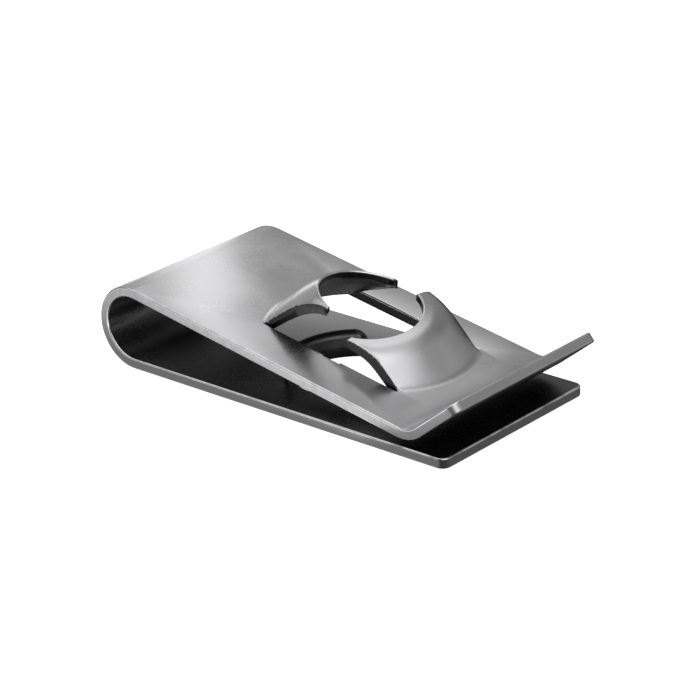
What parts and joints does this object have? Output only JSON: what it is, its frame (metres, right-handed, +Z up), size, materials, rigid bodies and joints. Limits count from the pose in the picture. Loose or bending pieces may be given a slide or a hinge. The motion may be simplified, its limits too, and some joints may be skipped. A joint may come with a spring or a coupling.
{
  "type": "spring clip nut",
  "caption": "Folded spring steel clip for a panel edge, with an arched one-turn thread on its upper leg and a collared screw hole below.",
  "frame": {"origin": "centre of the screw hole, on the underside of the lower leg", "axes": "+X out of the mouth, +Y across the strip, +Z up from the lower leg along the screw hole"},
  "size_m": [0.0239, 0.011, 0.0057],
  "materials": {
    "spring_steel": "satin rolled spring steel with tumbled edges"
  },
  "bodies": {
    "root": {"spring_clip": "spring_steel"}
  },
  "joints": []
}
